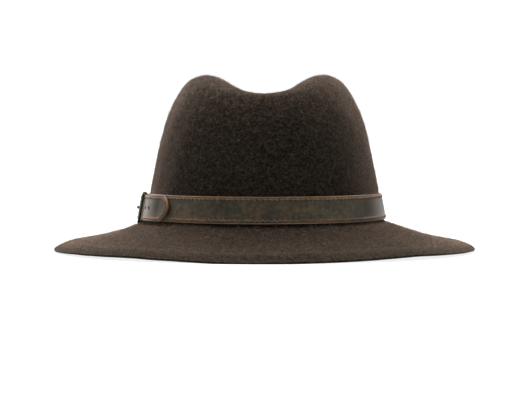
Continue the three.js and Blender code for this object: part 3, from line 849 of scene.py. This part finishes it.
def frame_path():
    """The frame's wire: a rounded rectangle round the strap, leaning out to the front bar."""
    points = []
    corners = [(FRONT_BAR_AT, 1, 0), (REAR_BAR_AT, 1, 90), (REAR_BAR_AT, -1, 180), (FRONT_BAR_AT, -1, 270)]
    for along, way, start in corners:
        turn = np.radians(start + np.arange(0, 91, 10))
        centre_along = along - FRAME_CORNER * np.sign(along - MIDDLE_BAR_AT)
        centre_rise = way * (RAIL_RISE - FRAME_CORNER)
        points += zip(centre_along + FRAME_CORNER * np.cos(turn), centre_rise + FRAME_CORNER * np.sin(turn))
    points = np.array(points)
    dense = []
    for here, after in zip(points, np.roll(points, -1, 0)):
        steps = max(1, round(float(np.linalg.norm(after - here)) / FRAME_STEP))
        dense += [here + (after - here) * i / steps for i in range(steps)]
    along, rise = np.array(dense).T
    rise = rise * np.where(rise < 0, FRAME_SAG, 1) - BUCKLE_DROP
    return np.column_stack([along, rise, np.interp(along, *FRAME_LEAN)])


def middle_bar_path():
    """The middle bar's wire, which bends in from the frame's two long sides to lie close to the felt."""
    rail_out = (REAR_BAR_OUT + FRONT_BAR_OUT) / 2
    bend_rise = RAIL_RISE - BEND_LENGTH
    bend_out = MIDDLE_BAR_OUT + BEND_HEIGHT
    half = [(RAIL_RISE, rail_out), (RAIL_RISE, bend_out), (bend_rise, MIDDLE_BAR_OUT)]
    knots = half + [(0, MIDDLE_BAR_OUT)] + [(-rise, out) for rise, out in half[::-1]]
    line = smooth_curve([(i, *knot) for i, knot in enumerate(knots)], np.linspace(0, len(knots) - 1, 49))
    return np.column_stack([np.full(len(line), MIDDLE_BAR_AT), line[:, 0] - BUCKLE_DROP, line[:, 1]])


def buckle_frame_mesh():
    made = tube("metal_frame", frame_path(), BAR_RADIUS, closed=True)
    combine(made, tube("tool_middle_bar", middle_bar_path(), MIDDLE_BAR_RADIUS), "UNION")
    return made


def prong_strip(name, line, halves, sides, squareness, closed=False):
    """A flat strip as wide as the prong along a line seen edge on, with rounded edges."""
    way = directions(line, closed)
    cos, sin = circle(sides)
    thick = np.broadcast_to(halves, len(line))[:, None] * signed_power(cos, squareness)
    rise = signed_power(sin, squareness) * PRONG_WIDTH / 2 - PRONG_DROP
    points = np.stack([
        line[:, :1] - way[:, 1:] * thick,
        np.broadcast_to(rise, thick.shape),
        line[:, 1:] + way[:, :1] * thick,
    ], -1)
    made = make_object(name, wrap(points), bar_faces(len(line), sides, closed))
    tidy_mesh(made)
    return made


def prong_mesh():
    """The prong, which thins towards its tip, and its eye round the middle bar."""
    reached = distances(np.array(PRONG_ROUTE))
    places = np.linspace(0, reached[-1], 40)
    line = smooth_curve(np.column_stack([reached, PRONG_ROUTE]), places)
    halves = PRONG_THICKNESS / 2 * np.interp(places / reached[-1], *PRONG_TAPER)
    made = prong_strip("metal_prong", line, halves, 20, 0.55)
    middle = MIDDLE_BAR_RADIUS + EYE_CLEARANCE + EYE_WALL / 2
    cos, sin = circle(48)
    eye_line = np.column_stack([MIDDLE_BAR_AT + middle * cos, MIDDLE_BAR_OUT + middle * sin])
    combine(made, prong_strip("tool_eye", eye_line, EYE_WALL / 2, 16, 0.5, closed=True), "UNION")
    return made


def stitch_line():
    """The stitches' holes, evenly spaced: along the lower edge, round the tongue's tip and back again."""
    half = STRAP_WIDTH / 2 - STITCH_INSET
    reach = TONGUE_TIP_LENGTH - TIP_STITCH_INSET
    start = MIDDLE_BAR_AT + STITCH_START
    forward, across = tip_outline(np.linspace(0, math.pi, 61))
    tip = np.column_stack([SHOULDER_AT + reach * forward, -half * across])
    line = np.concatenate([[(start, -half)], tip, [(start, half)]])
    reached = distances(line)
    places = np.linspace(0, reached[-1], round(reached[-1] / STITCH_PITCH) + 1)
    return np.column_stack([np.interp(places, reached, line[:, i]) for i in range(2)])


def face_points(flat):
    """Lifts flat points on to the strap's outer face, at the bottom of the stitches' groove."""
    along, rise = flat[..., 0], flat[..., 1]
    tongue_along, tongue_out, tongue_drop = np.array(TONGUE_ROUTE).T
    out = np.interp(along - GIRTH_LENGTH, tongue_along, tongue_out) + tip_lift(along, rise)
    drop = np.interp(along - GIRTH_LENGTH, tongue_along, tongue_drop)
    return np.stack([along, rise - drop, out + STRAP_THICKNESS / 2 - GROOVE_DEPTH], -1)


def thread_points(here, way, reach, random):
    """One stitch: a short length of thread that slants, bows and rises between two holes."""
    beside = np.array([-way[1], way[0]])
    slant = STITCH_SLANT * random.uniform(0.8, 1.2)
    first = here + way * 0.03 * reach + beside * slant
    second = here + way * (0.96 + random.uniform(-0.03, 0.03)) * reach - beside * slant
    share = np.linspace(0, 1, THREAD_STEPS)
    arch = np.sin(math.pi * share)
    middle = face_points(first + (second - first) * share[:, None] - beside * STITCH_BOW * arch[:, None])
    middle[:, 2] += (THREAD_RISE + THREAD_SINK) * arch ** 0.6 - THREAD_SINK
    heading = directions(middle)
    across = unit(np.cross(heading, (0.0, 0.0, 1.0)))
    cos, sin = circle(THREAD_SIDES)
    ring = across[:, None] * cos[:, None] + np.cross(across, heading)[:, None] * sin[:, None]
    radius = THREAD_RADIUS * (0.62 + 0.38 * arch)
    return middle[:, None] + radius[:, None, None] * ring


def pit_points(here, way):
    """One hole: a low round cup, pulled in from the edge by the thread, with a point at its bottom."""
    middle = face_points(here + np.array([-way[1], way[0]]) * PIT_SHIFT)
    cos, sin = circle(THREAD_SIDES)
    widest = PIT_RADIUS * np.column_stack([cos, sin, np.zeros(THREAD_SIDES)])
    rings = [middle + size * widest + (0, 0, height) for height, size in PIT_RINGS]
    return np.concatenate([[middle - (0, 0, PIT_DEPTH)], *rings])


def pit_faces():
    """The faces of one pit: a fan at its bottom, the wall between its rings, and a flat face at the top."""
    sides, rings = THREAD_SIDES, len(PIT_RINGS)
    fan = [[0, 1 + (i + 1) % sides, 1 + i] for i in range(sides)]
    wall = (loop_faces(rings, sides) + 1).tolist()
    top = [1 + (rings - 1) * sides + i for i in range(sides)]
    return fan + wall + [top]


def stitch_meshes():
    """All the stitches as one mesh and their holes as another, darker in the upper row and at the tip."""
    random = np.random.default_rng(STITCH_SEED)
    threads, pits = [], []
    line = stitch_line()
    for here, after in zip(line[:-1], line[1:]):
        way = unit(after - here)
        threads.append(thread_points(here, way, np.linalg.norm(after - here), random))
        pits.append(pit_points(here, way))
    pits = np.array(pits)
    faces = repeated(bar_faces(THREAD_STEPS, THREAD_SIDES), len(threads), THREAD_STEPS * THREAD_SIDES)
    thread = make_object("stitch_thread", wrap(threads), faces)
    tidy_mesh(thread, 1e-4)
    holes = make_object("stitch_holes", wrap(pits), repeated(pit_faces(), len(pits), pits.shape[1]))
    point_values(holes, "dark", (pits[..., 1] > 0) | (pits[..., 0] > SHOULDER_AT))
    tidy_mesh(holes, 1e-4)
    return thread, holes


def small_ring(name, along, rise, radius, wire):
    """A small ring on the strap's outer face: a knot of thread, or the burnished rim of a hole."""
    cos, sin = circle(RING_STEPS)
    ring = np.column_stack([radius * cos, radius * sin, np.full(RING_STEPS, RING_LIFT)])
    return tube(name, face_points(np.array([along, rise])) + ring, wire, sides=8, closed=True)


class Nodes:
    """Short ways to add shader nodes to a material or a world."""

    def __init__(self, owner):
        owner.use_nodes = True
        self.owner = owner
        self.tree = owner.node_tree
        self.tree.nodes.clear()

    def add(self, kind, inputs, output=None, **settings):
        """Adds a node, feeds its inputs with values or other nodes' outputs, and gives one of its own."""
        node = self.tree.nodes.new("ShaderNode" + kind)
        for key, value in settings.items():
            setattr(node, key, value)
        for key, value in inputs.items():
            socket = node.inputs[key]
            if isinstance(value, bpy.types.NodeSocket):
                self.tree.links.new(value, socket)
            elif socket.type == "RGBA":
                socket.default_value = (*value, 1)
            else:
                socket.default_value = value
        return node if output is None else node.outputs[output]

    def surface(self, **inputs):
        """Ends a material with its shader, and gives the material."""
        inputs = {key.replace("_", " "): value for key, value in inputs.items()}
        self.add("OutputMaterial", {"Surface": self.add("BsdfPrincipled", inputs, "BSDF")})
        return self.owner

    def place(self):
        return self.add("TexCoord", {}, "Object")

    def attribute(self, name, output="Fac"):
        return self.add("Attribute", {}, output, attribute_name=name)

    def axis(self, vector, name):
        return self.add("SeparateXYZ", {0: vector}, name)

    def noise(self, vector, scale, detail=3.0, roughness=0.5, distortion=0.0):
        inputs = {"Vector": vector, "Scale": scale, "Detail": detail}
        inputs.update({"Roughness": roughness, "Distortion": distortion})
        return self.add("TexNoise", inputs, "Fac")

    def stretch(self, vector, scale, turn=(0, 0, 0)):
        return self.add("Mapping", {"Vector": vector, "Scale": scale, "Rotation": turn}, "Vector")

    def ramp(self, value, stops):
        node = self.add("ValToRGB", {"Fac": value})
        ramp = node.color_ramp
        while len(ramp.elements) < len(stops):
            ramp.elements.new(0.5)
        for element, (place, colour) in zip(ramp.elements, stops):
            element.position = place
            element.color = (*colour, 1)
        return node.outputs["Color"]

    def level(self, value, low, high, to_low=0.0, to_high=1.0, **settings):
        inputs = {"Value": value, "From Min": low, "From Max": high, "To Min": to_low, "To Max": to_high}
        return self.add("MapRange", inputs, "Result", **settings)

    def math(self, operation, first, second=0.5):
        return self.add("Math", {0: first, 1: second}, "Value", operation=operation)

    def mix(self, factor, first, second, blend="MIX"):
        return self.add("Mix", {0: factor, 6: first, 7: second}, 2, data_type="RGBA", blend_type=blend)

    def times(self, colour, *factors):
        for factor in factors:
            colour = self.mix(1.0, colour, factor, "MULTIPLY")
        return colour

    def bump(self, height, distance, strength, **under):
        inputs = {"Height": height, "Distance": distance, "Strength": strength, **under}
        return self.add("Bump", inputs, "Normal")


def material_nodes(name):
    return Nodes(bpy.data.materials.new(name))


FELT_DARK = (0.0122, 0.0108, 0.0079)
FELT_BASE = (0.0200, 0.0172, 0.0124)
FELT_PALE = (0.032, 0.0274, 0.0206)
FELT_LIGHT = (0.070, 0.058, 0.046)
FELT_WARM_TINT = (1.12, 0.97, 0.90)
FELT_COOL_TINT = (0.90, 1.02, 1.04)
# Level faces of the wool are painted lighter and warmer by this tint, as painted top light.
FELT_PAINTED_TOP_LIGHT = (1.36, 1.10, 1.03)
FELT_SHEEN = (0.95, 0.68, 0.55)
STRAND_TURNS = [(0.3, 0.5, 0.2), (1.2, 0.1, 0.9), (0.7, 1.3, 2.1)]
STRAND_STRETCH = (360, 1300, 1100)
FIBRE_TONES = [
    (0.0, (0.022, 0.018, 0.014)),
    (0.5, (0.105, 0.078, 0.059)),
    (0.8, (0.25, 0.185, 0.142)),
    (1.0, (0.42, 0.32, 0.25)),
]


def felt_material():
    """Marled wool: dark, warm and cool wool in small flecks, lighter strands across it, and a soft sheen."""
    nodes = material_nodes("felt_wool")
    place = nodes.place()
    strands = 0.0
    for number, turn in enumerate(STRAND_TURNS):
        strand = nodes.noise(nodes.stretch(place, STRAND_STRETCH, turn), 1.0 + 0.1 * number, 2, 0.5, 0.9)
        ridge = nodes.math("ABSOLUTE", nodes.math("SUBTRACT", strand, 0.5))
        strands = nodes.math("MAXIMUM", nodes.level(ridge, 0.0, 0.06, 1.0, 0.0), strands)
    level = nodes.attribute("level")
    fleck = nodes.noise(place, 460, 3, 0.6, 0.3)
    wool = nodes.noise(nodes.stretch(place, (1, 1, 1), (0.4, 0.2, 0.9)), 480, 2, 0.5, 0.2)
    patch = nodes.noise(place, 60, 3, 0.55)
    tuft = nodes.noise(nodes.stretch(place, (280, 100, 280)), 1.0, 3, 0.6)
    tint = nodes.ramp(wool, [(0.38, FELT_COOL_TINT), (0.62, FELT_WARM_TINT)])
    ground = nodes.ramp(fleck, [(0.36, FELT_DARK), (0.50, FELT_BASE), (0.66, FELT_PALE)])
    ground = nodes.times(ground, tint, nodes.level(patch, 0.35, 0.65, 0.93, 1.07))
    # The brim's two sides are painted lighter, as painted sheen.
    aside = nodes.math("ABSOLUTE", nodes.axis(place, "X"))
    painted_side_sheen = nodes.level(aside, SIDE_FROM * MM, BRIM_HALF_WIDTH * MM, 1.0, SIDE_SHEEN_PAINTED_ON_WOOL)
    # Level faces take a copy of the wool painted lighter and warmer, as painted top light, with the sides'
    # painted sheen; the tufts' tone is the wool's own.
    tufts_with_painted_light = nodes.times(ground, nodes.level(tuft, 0.36, 0.64, 0.78, 1.28), FELT_PAINTED_TOP_LIGHT, painted_side_sheen)
    amount = nodes.math("MULTIPLY", strands, nodes.level(fleck, 0.42, 0.62, 0.0, 0.36))
    colour = nodes.mix(amount, nodes.mix(level, ground, tufts_with_painted_light), FELT_LIGHT)
    bump = nodes.bump(nodes.math("MULTIPLY", tuft, level), 0.0010, 0.6)
    bump = nodes.bump(fleck, 0.0009, 0.45, Normal=bump)
    bump = nodes.bump(strands, 0.0002, 0.5, Normal=bump)
    return nodes.surface(Base_Color=colour, Normal=bump, Roughness=0.95, Specular_IOR_Level=0.02,
                         Sheen_Weight=0.52, Sheen_Roughness=0.15, Sheen_Tint=FELT_SHEEN)


def fibre_material():
    """Loose wool, from dark to pale by each fibre's tone, which carries painted top light and painted sheen.
    """
    nodes = material_nodes("felt_fibre")
    grain = nodes.noise(nodes.place(), 900, 2)
    colour = nodes.ramp(nodes.attribute("fibre_tone_and_painted_light"), FIBRE_TONES)
    colour = nodes.times(colour, nodes.level(grain, 0.3, 0.7, 0.8, 1.2))
    return nodes.surface(Base_Color=colour, Roughness=0.9, Specular_IOR_Level=0.05,
                         Sheen_Weight=0.3, Sheen_Roughness=0.4, Sheen_Tint=FELT_SHEEN)


LEATHER_DARK = (0.055, 0.056, 0.039)
LEATHER_BASE = (0.100, 0.088, 0.058)
LEATHER_WARM = (0.150, 0.100, 0.056)
LEATHER_STRETCHED = (0.21, 0.105, 0.055)
LEATHER_UPPER_EDGE = (0.33, 0.162, 0.080)
LEATHER_LOWER_EDGE = (0.33, 0.215, 0.135)
LEATHER_TIP_EDGE = (0.25, 0.108, 0.048)
LEATHER_MARK = (0.14, 0.092, 0.056)
THREAD_TONES = [(0.3, (0.21, 0.115, 0.066)), (0.7, (0.40, 0.235, 0.145))]
PIT_TAN_TONES = [(0.3, (0.20, 0.100, 0.056)), (0.7, (0.42, 0.220, 0.128))]
PIT_BROWN_TONES = [(0.3, (0.030, 0.016, 0.010)), (0.7, (0.095, 0.044, 0.023))]
METAL_TONES = [(0.35, (0.040, 0.039, 0.028)), (0.6, (0.078, 0.073, 0.052)), (0.8, (0.20, 0.165, 0.105))]
FLOOR_TONES = [(0.3, (0.13, 0.13, 0.13)), (0.7, (0.15, 0.15, 0.15))]


def leather_material():
    """Waxed leather that pales where it bends: olive and brown clouds, fine grain, and tan cut edges."""
    nodes = material_nodes("leather_waxed")
    place = nodes.place()
    flat = nodes.attribute("laid_flat", "Vector")
    cloud = nodes.noise(nodes.stretch(flat, (34, 62, 62)), 1.0, 5, 0.62, 0.6)
    cloud = nodes.math("ADD", cloud, nodes.math("MULTIPLY", nodes.attribute("worn_brown"), 0.2))
    fine = nodes.noise(place, 360, 4, 0.7)
    streak = nodes.noise(nodes.stretch(flat, (150, 640, 640)), 1.0, 4, 0.65, 0.5)
    colour = nodes.ramp(cloud, [(0.32, LEATHER_DARK), (0.5, LEATHER_BASE), (0.72, LEATHER_WARM)])
    colour = nodes.times(colour, nodes.level(fine, 0.3, 0.7, 0.58, 1.46))
    colour = nodes.times(colour, nodes.level(streak, 0.3, 0.7, 0.74, 1.3))
    colour = nodes.mix(nodes.level(streak, 0.62, 0.78, 0.0, 0.4), colour, LEATHER_MARK)
    ragged = nodes.level(nodes.noise(place, 260, 3, 0.6), 0.3, 0.7, -0.14, 0.14)
    pulled = nodes.level(nodes.math("ADD", nodes.attribute("stretched"), ragged), 0.35, 0.95, 0.0, 0.75)
    colour = nodes.mix(pulled, colour, LEATHER_STRETCHED)
    trim = nodes.level(nodes.math("ADD", nodes.attribute("edge"), ragged), 0.28, 0.62)
    rise = nodes.axis(flat, "Y")
    edge = nodes.mix(nodes.level(rise, -0.006, 0.006), LEATHER_LOWER_EDGE, LEATHER_UPPER_EDGE)
    tip = nodes.level(nodes.axis(flat, "X"), SHOULDER_AT * MM, (SHOULDER_AT + 4) * MM)
    tip = nodes.math("MULTIPLY", tip, nodes.level(rise, -0.008, 0.0))
    colour = nodes.mix(trim, colour, nodes.mix(tip, edge, LEATHER_TIP_EDGE))
    # Some marks here are wear, others painted highlight and painted shade, as the marks' table says.
    colour = nodes.times(colour, nodes.level(nodes.attribute("pale_wear_and_painted_light"), -1.0, 1.0, 0.35, 1.65))
    rough = nodes.math("ADD", nodes.level(fine, 0.3, 0.7, 0.30, 0.42), nodes.math("MULTIPLY", trim, 0.35))
    pebbles = nodes.add("TexVoronoi", {"Vector": place, "Scale": 900}, "Distance", feature="SMOOTH_F1")
    bump = nodes.bump(fine, 0.00025, 0.35, Normal=nodes.bump(pebbles, 0.00012, 0.5))
    return nodes.surface(Base_Color=colour, Roughness=rough, Specular_IOR_Level=0.45, Normal=bump)


def thread_material():
    """Waxed tan thread with a fine twist."""
    nodes = material_nodes("thread_waxed")
    colour = nodes.ramp(nodes.noise(nodes.place(), 160, 3, 0.6), THREAD_TONES)
    twist = nodes.bump(nodes.noise(nodes.place(), 2600, 2, 0.5), 0.0001, 0.5)
    return nodes.surface(Base_Color=colour, Roughness=0.75, Specular_IOR_Level=0.2, Normal=twist)


def pit_material():
    """The raw leather in a stitch's hole, from tan to dark brown."""
    nodes = material_nodes("stitch_pit")
    tone = nodes.noise(nodes.place(), 400, 2)
    tan, brown = (nodes.ramp(tone, tones) for tones in (PIT_TAN_TONES, PIT_BROWN_TONES))
    return nodes.surface(Base_Color=nodes.mix(nodes.attribute("dark"), tan, brown), Roughness=0.8)


def metal_material():
    """Darkened brass, with a little of the metal showing where it is rubbed."""
    nodes = material_nodes("metal_dark_brass")
    tone = nodes.noise(nodes.place(), 420, 4, 0.65)
    colour = nodes.ramp(tone, METAL_TONES)
    rough = nodes.level(tone, 0.3, 0.7, 0.6, 0.45)
    bump = nodes.bump(tone, 0.0001, 0.4)
    return nodes.surface(Base_Color=colour, Metallic=0.2, Roughness=rough, Specular_IOR_Level=0.12,
                         Normal=bump)


def floor_material():
    """A pale floor that glows, so that the hat casts only a faint shadow on it."""
    nodes = material_nodes("floor_pale")
    colour = nodes.ramp(nodes.noise(nodes.place(), 3.0, 2), FLOOR_TONES)
    glow = {"Emission_Color": (1, 1, 1), "Emission_Strength": FLOOR_GLOW}
    return nodes.surface(Base_Color=colour, Roughness=0.9, **glow)


def dress(piece, material, slot, *nodes):
    """Gives a piece its material and its place on the hat, with the nodes that it stands for."""
    piece.data.materials.clear()
    piece.data.materials.append(material)
    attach(piece, BODY)
    if nodes:
        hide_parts(*nodes)


def make_floor():
    corners = [(x * FLOOR_REACH, y * FLOOR_REACH, 0) for x, y in ((-1, -1), (1, -1), (1, 1), (-1, 1))]
    floor = make_object("floor", corners, [(0, 1, 2, 3)], smooth=False)
    floor.data.materials.append(floor_material())
    floor.location.z = -FLOOR_DROP * MM


def aim(thing, place, target):
    """Puts a lamp or a camera in its place and turns it towards a target."""
    thing.location = place
    thing.rotation_euler = (Vector(target) - Vector(place)).to_track_quat("-Z", "Y").to_euler()


def lamp(name, kind, power, **settings):
    light = bpy.data.lights.new(name, kind)
    light.energy = power
    for key, value in settings.items():
        setattr(light, key, value)
    return add_object(name, light)


def make_world():
    """The studio's own light: a soft glow behind the hat, and plain white where the camera sees it."""
    world = bpy.data.worlds.new("studio")
    bpy.context.scene.world = world
    nodes = Nodes(world)
    way = nodes.axis(nodes.add("TexCoord", {}, "Generated"), "Y")
    glow = nodes.level(way, WORLD_FADE_FROM, 1.0, WORLD_FRONT, WORLD_BACK, interpolation_type="SMOOTHSTEP")
    dim = nodes.add("Background", {"Strength": glow}, 0)
    white = nodes.add("Background", {"Color": (1, 1, 1), "Strength": WORLD_SEEN}, 0)
    seen = nodes.add("LightPath", {}, "Is Camera Ray")
    nodes.add("OutputWorld", {0: nodes.add("MixShader", {0: seen, 1: dim, 2: white}, 0)})


def make_lights():
    for name, (power, spread, tilt, turn) in SUNS.items():
        sun = lamp(name, "SUN", power, angle=math.radians(spread))
        sun.rotation_euler = (math.radians(-tilt), 0, math.radians(turn))
    for name, (place, width, height, power) in SOFT_BOXES.items():
        box = lamp(name, "AREA", power, shape="RECTANGLE", size=width, size_y=height, color=LAMP_COLOUR)
        aim(box, place, LAMP_AIM)


def make_camera():
    """Sees the hat as the photograph does: from the front, a little above the brim."""
    camera = add_object("camera", bpy.data.cameras.new("camera"))
    camera.data.sensor_width = SENSOR_WIDTH
    camera.data.lens = SENSOR_WIDTH * CAMERA_DISTANCE / (PHOTO_WIDTH * MM_PER_PIXEL)
    camera.data.clip_start = 0.05
    camera.data.clip_end = 100
    aside = (PHOTO_WIDTH / 2 - HAT_MIDDLE_X) * MM_PER_PIXEL
    below = (PHOTO_HEIGHT / 2 - HORIZON_Y) * MM_PER_PIXEL
    target = Vector((aside, 0, CAMERA_HEIGHT - below)) * MM
    aim(camera, (0, -CAMERA_DISTANCE * MM, CAMERA_HEIGHT * MM), target)
    bpy.context.scene.camera = camera


def make_felt():
    felt, *felt_faces = felt_mesh()
    dress(felt, felt_material(), "felt", "felt_body")
    fibres = fibre_material()
    for number, (name, sizes) in enumerate(FIBRE_GROUPS.items()):
        dress(fibre_mesh(name, sizes, felt_faces, FIBRE_SEED + number), fibres, "felt")


def make_band():
    strap = strap_mesh()
    cut_strap_holes(strap)
    dress(strap, leather_material(), "leather", "hat_band")
    threads, holes = stitch_meshes()
    dress(threads, thread_material(), "leather")
    pit = pit_material()
    dress(holes, pit, "leather")
    for number, (along, rise) in enumerate(SEAM_KNOTS, 1):
        knot = small_ring(f"stitch_knot_{number}", along, rise, KNOT_RADIUS, KNOT_THREAD_RADIUS)
        dress(knot, pit, "leather")
    for number, along in enumerate(SPARE_HOLES, 1):
        rim = small_ring(f"hole_rim_{number}", GIRTH_LENGTH + along, 0.0, HOLE_RADIUS, HOLE_RIM_RADIUS)
        point_values(rim, "dark", np.full(len(rim.data.vertices), HOLE_RIM_DARKNESS))
        dress(rim, pit, "leather")


def make_buckle():
    metal = metal_material()
    dress(buckle_frame_mesh(), metal, "metal", "buckle_frame")
    dress(prong_mesh(), metal, "metal", "buckle_prong")


make_camera()
make_floor()
make_lights()
make_world()
make_felt()
make_band()
make_buckle()
bpy.context.scene.view_settings.view_transform = "Standard"
